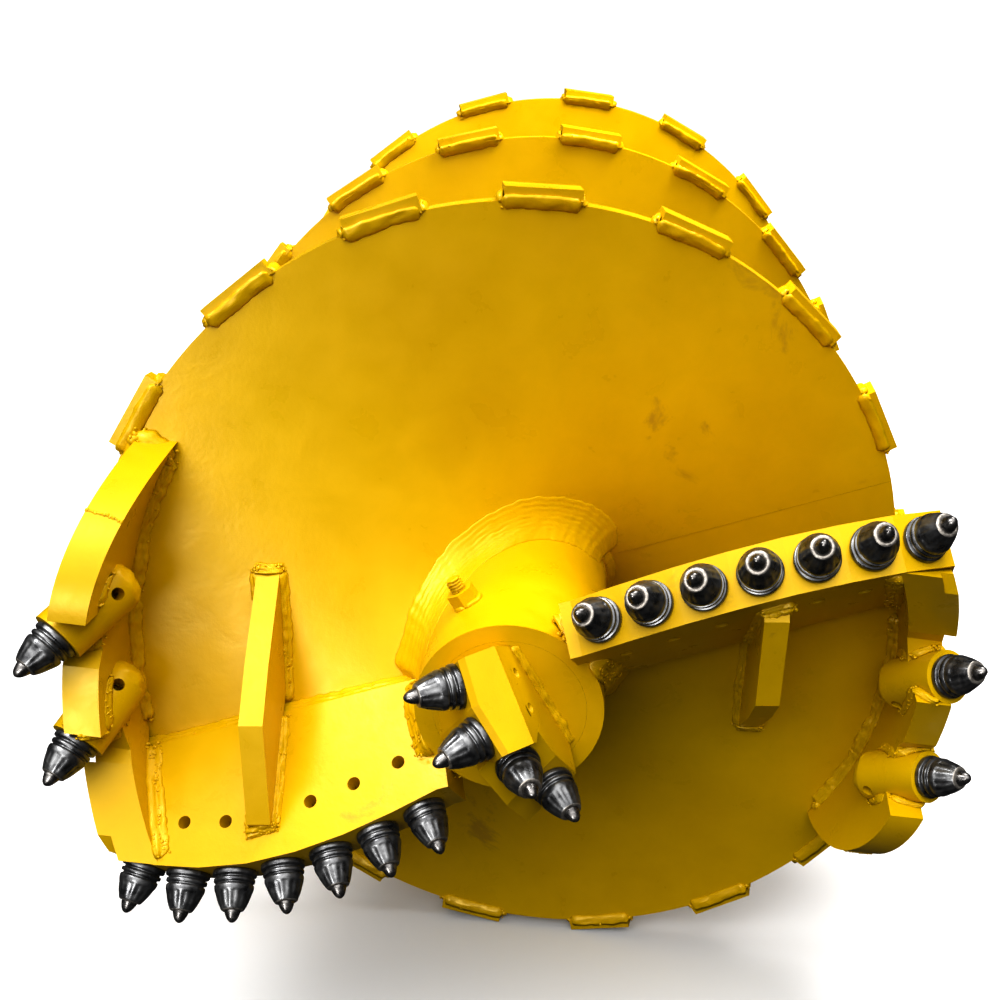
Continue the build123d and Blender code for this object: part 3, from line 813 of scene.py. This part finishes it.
def block_beads(side, behind):
    """Rough beads under both long edges of a wear block and at both its ends."""
    thick = LEAD_T if behind < 360 else TAIL_T
    half = math.degrees(BLOCK_L / 2 / FLIGHT_R)
    over = (BLOCK_W - thick) / 2 + BLOCK_HEM
    radius = FLIGHT_R - BED / 2
    beads = []
    for face in (1, -1):
        low = []
        for b in along(behind - half, behind + half, 1.0):
            ang = BLADE[side] - b
            up = (FORWARD * face * over + radial(ang) * 0.009).normalized()
            low.append((at(radius, ang, flight_y(b) - face * thick / 2), -radial(ang), up))
        beads.append((low, 0.011, math.hypot(over, 0.009), BLOCK_SIDE_BEAD))
    for end in (-1, 1):
        b = behind + end * half
        ang = BLADE[side] - b
        ys = along(flight_y(b) - thick / 2 - 0.002, flight_y(b) + thick / 2 + 0.002, 0.005)
        stations = [(at(radius, ang, y), -around(ang) * end, radial(ang)) for y in ys]
        beads.append((stations, 0.009, 0.012, BLOCK_END_BEAD))
    return beads


for side, places in BLOCKS_AT.items():
    weld("weld_blocks_" + side, sum((block_beads(side, b) for b in places), []), grainy=12 * len(places))

# Kelly end: the flange on the tube, the box on the flange.
FLANGE_FRONT, FLANGE_REAR, BOX_HALF = 1.885, 1.925, 0.135
KELLY_BEAD = {"passes": 2, "rough": 1.2}


def flange_on_tube():
    """Stations round the tube in front of the flange."""
    return [(at(CORE_R, a, FLANGE_FRONT), radial(a), FORWARD) for a in along(0, 360, 5)]


def box_on_flange(turn):
    """Stations along one side of the box, on the flange."""
    base = Vector((0, FRONT + FLANGE_REAR, 0)) + radial(turn) * BOX_HALF
    width = along(-BOX_HALF + 0.008, BOX_HALF - 0.008, 0.01)
    return [(base + around(turn) * x, radial(turn), -FORWARD) for x in width]


weld("weld_kelly", [(flange_on_tube(), 0.016, 0.018, KELLY_BEAD)] + [
    (box_on_flange(turn), 0.014, 0.014, KELLY_BEAD) for turn in (0, 90, 180, 270)])

# The vent plug's weld ring and the thread on its stud.
PLUG_Y, PLUG_ANGLE, PLUG_FOOT_R = 0.108, 118.7, 0.0195
THREAD_START, THREAD_TURNS, THREAD_PITCH = 0.0225, 4, 0.0046
THREAD_LOW, THREAD_HIGH, THREAD_FLANK = 0.0089, 0.0118, 0.42
THREAD_POINTS = 24                  # a turn


def plug_ring():
    """Stations round the plug's foot, on the tube."""
    stations = []
    out, side_way = radial(PLUG_ANGLE), around(PLUG_ANGLE)
    for a in along(0, 360, 12):
        lie = FORWARD * math.cos(math.radians(a)) + side_way * math.sin(math.radians(a))
        p = at(0, PLUG_ANGLE, PLUG_Y) + out * CORE_R + lie * PLUG_FOOT_R
        up = radial(angle_of(p))
        foot = at(CORE_R, angle_of(p), p.y - FRONT)
        stations.append((foot, (lie - up * lie.dot(up)).normalized(), out))
    return stations


def plug_thread(bm):
    """One ridge that winds up the stud."""
    out, side_way = radial(PLUG_ANGLE), around(PLUG_ANGLE)
    base = at(0, PLUG_ANGLE, PLUG_Y) + out * (CORE_R + THREAD_START)
    half = THREAD_PITCH * THREAD_FLANK
    rings = []
    for k in range(THREAD_TURNS * THREAD_POINTS + 1):
        a = 2 * math.pi * k / THREAD_POINTS
        e = FORWARD * math.cos(a) + side_way * math.sin(a)
        mid = base + out * (THREAD_PITCH * k / THREAD_POINTS)
        rings.append([bm.verts.new(mid + e * r + out * h)
                      for r, h in ((THREAD_LOW, -half), (THREAD_HIGH, 0.0), (THREAD_LOW, half))])
    for low, high in zip(rings, rings[1:]):
        for j in range(2):
            bm.faces.new((low[j], low[j + 1], high[j + 1], high[j]))


weld("plug_trim", [(plug_ring(), 0.005, 0.005, {"rough": 1.6, "step": 0.003})], forms=[plug_thread])

# Pilot foot: the angle across the block, and how far its two flat sides are from the axis.
PILOT_HEADING, PILOT_RIGHT, PILOT_LEFT = 27.0, 0.052, 0.042


def pilot_foot(out, off):
    """Stations along a flat side of the pilot, where the block is found behind them."""
    trees = [surface("pilot_plate_" + n) for n in "12"]
    way = out.cross(FORWARD)
    stations = []
    for w in along(-0.105, 0.105, 0.004):
        p = Vector((0, FRONT, 0)) + out * off + way * w
        hits = [t.ray_cast(p + out * 0.02 + FORWARD * 0.003, -out, 0.03)[0] for t in trees]
        if any(h is not None for h in hits) and math.hypot(p.x, p.z) < CORE_R - 0.008:
            stations.append((p, out, FORWARD))
    return stations


weld("weld_pilot", [
    (pilot_foot(radial(PILOT_HEADING), PILOT_RIGHT), 0.010, 0.007,
     {"rough": 3.0, "passes": 2, "crown": 0.05}),
    (pilot_foot(-radial(PILOT_HEADING), PILOT_LEFT), 0.012, 0.010, {"rough": 2.0})])

# ---------------------------------------------------------------- camera, floor and light

# The camera's place and directions, worked out from the photograph, and its focal length and
# principal point in pixels of a 1000 x 1000 picture.
PICTURE, SENSOR = 1000, 36
FOCAL_PX, CENTRE_PX = 1309.458, (642.432, 704.928)
CAM_PLACE = Vector((0.14626, FRONT - 1.62833, 0.95713))
CAM_RIGHT = Vector((0.99969, -0.01779, 0.01683))
CAM_DOWN = Vector((0.00560, -0.50293, -0.86430))
CAM_LOOK = Vector((0.02384, 0.86413, -0.50269))
FLOOR_HALF = 80
FLOOR_GREY = 0.62


def photo_camera():
    data = bpy.data.cameras.new("camera")
    cam = bpy.data.objects.new("camera", data)
    bpy.context.collection.objects.link(cam)
    turn = Matrix((CAM_RIGHT, -CAM_DOWN, -CAM_LOOK)).transposed().to_4x4()
    cam.matrix_world = Matrix.Translation(CAM_PLACE) @ turn
    data.sensor_width = SENSOR
    data.lens = FOCAL_PX / PICTURE * SENSOR
    data.shift_x = (PICTURE / 2 - CENTRE_PX[0]) / PICTURE
    data.shift_y = (CENTRE_PX[1] - PICTURE / 2) / PICTURE
    data.clip_end = 200
    return cam


def pale_floor():
    """A plain floor. The photograph was cut out of a hall with a dark floor, so this one throws no
    light back at the object."""
    bm = bmesh.new()
    bmesh.ops.create_grid(bm, x_segments=1, y_segments=1, size=FLOOR_HALF)
    me = bpy.data.meshes.new("floor")
    bm.to_mesh(me)
    bm.free()
    floor = bpy.data.objects.new("floor", me)
    floor.location = (0, 0, cad_box[0][2])
    bpy.context.collection.objects.link(floor)
    material, _, _, bsdf = new_material("floor")
    bsdf.inputs["Base Color"].default_value = (*grey(FLOOR_GREY), 1)
    bsdf.inputs["Roughness"].default_value = 0.85
    floor.data.materials.append(material)
    floor.visible_diffuse = False
    floor.visible_glossy = False


bpy.context.scene.camera = photo_camera()
pale_floor()


def area(name, place, target, size, power):
    """A square light that looks at a target."""
    data = bpy.data.lights.new(name, "AREA")
    data.size = size
    data.energy = power
    o = bpy.data.objects.new(name, data)
    o.location = place
    o.rotation_euler = (Vector(target) - Vector(place)).to_track_quat("-Z", "Y").to_euler()
    bpy.context.collection.objects.link(o)
    return o


# Brightness of the sky by the cosine between a direction and the brightest one.
SKY = [(0.1, grey(0.006)), (0.55, grey(0.035)), (0.7, grey(0.15)), (0.82, grey(0.50)), (0.92, grey(0.85)),
       (1.0, grey(1.0))]
WALL_GREY = 0.9


def soft_sky(direction, peak):
    """A world that is brightest round one direction and dim low down and behind. The camera sees a
    pale wall in its place."""
    world = bpy.data.worlds.new("sky")
    bpy.context.scene.world = world
    world.use_nodes = True
    nodes, links = world.node_tree.nodes, world.node_tree.links
    dot = nodes.new("ShaderNodeVectorMath")
    dot.operation = "DOT_PRODUCT"
    links.new(nodes.new("ShaderNodeTexCoord").outputs["Generated"], dot.inputs[0])
    dot.inputs[1].default_value = Vector(direction).normalized()
    light = nodes["Background"]
    links.new(toned(nodes, links, dot.outputs["Value"], SKY), light.inputs["Color"])
    light.inputs["Strength"].default_value = peak
    wall = nodes.new("ShaderNodeBackground")
    wall.inputs["Color"].default_value = (*grey(WALL_GREY), 1)
    path, either = nodes.new("ShaderNodeLightPath"), nodes.new("ShaderNodeMixShader")
    links.new(path.outputs["Is Camera Ray"], either.inputs[0])
    links.new(light.outputs[0], either.inputs[1])
    links.new(wall.outputs[0], either.inputs[2])
    links.new(either.outputs[0], nodes["World Output"].inputs[0])


soft_sky((-0.10, -0.43, 0.90), 6.2)
# Two lights for the rear turns, one over them and one behind the object.
area("rear_top", (0.9, -1.2, 2.0), (0, -0.42, 0.6), 0.8, 62)
area("behind", (-1.5, 4.0, 3.0), (0, -1.0, 0), 2.0, 170).visible_glossy = False
# Two panes that only the gloss of the paint and the steel shows.
CUTTING_END = (-0.3, -2.0, 0)
area("skylight", (-2.1, -3.0, 3.6), CUTTING_END, 1.0, 150).visible_diffuse = False
area("window", (-1.7, -6.7, 0.9), CUTTING_END, 1.3, 170).visible_diffuse = False
bpy.context.scene.view_settings.view_transform = "Standard"
bpy.context.scene.view_settings.gamma = 0.76
